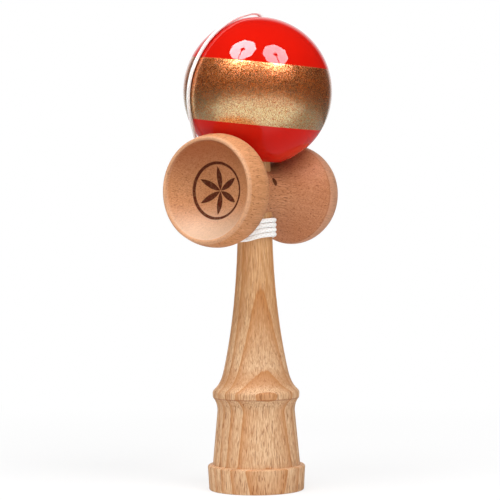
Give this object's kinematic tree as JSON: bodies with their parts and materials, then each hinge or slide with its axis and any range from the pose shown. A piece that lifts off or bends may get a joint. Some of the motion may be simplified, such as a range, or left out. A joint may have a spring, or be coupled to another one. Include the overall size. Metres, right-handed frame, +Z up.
{
  "type": "kendama",
  "caption": "Wooden skill toy: turned handle with spike, base cup and two-cup crosspiece, and a drilled lacquered ball on a string that rests on the spike or lands in a cup.",
  "frame": {"origin": "on the handle's axis, in the plane of the base cup's rim, which the toy stands on", "axes": "+Z up the handle to the spike, -X out of the big cup, +X out of the small cup"},
  "size_m": [0.0674, 0.06, 0.1913],
  "materials": {
    "handle_wood": "fine turned hardwood, thin satin oil finish, grain along the handle",
    "crosspiece_wood": "pinkish hardwood with short dark flecks, thin satin oil finish, grain along the crosspiece",
    "ball_lacquer": "high gloss red lacquer with a metallic gold band round the middle",
    "bead_wood": "small plain turned bead",
    "string": "white braided cord"
  },
  "bodies": {
    "ken": {"ken": "handle_wood", "sarado": "crosspiece_wood", "string_drop": "string", "string_wraps": "string", "string_tail": "string", "sarado_knot": "string"},
    "bead": {"bead": "bead_wood", "ball_knot": "string", "string_crown": "string"},
    "tama": {"tama": "ball_lacquer"}
  },
  "joints": [
    {"name": "ball_lift", "type": "slide", "parent": "ken", "child": "bead", "axis": [0, 0, 1], "range_m": [0, 0.05], "deforming": ["string_drop"]},
    {"name": "ball_spin", "type": "hinge", "parent": "bead", "child": "tama", "pos_m": [0.0026, 0, 0.1595], "axis": [-0.0338, -0.1261, 0.9914], "continuous": true}
  ]
}
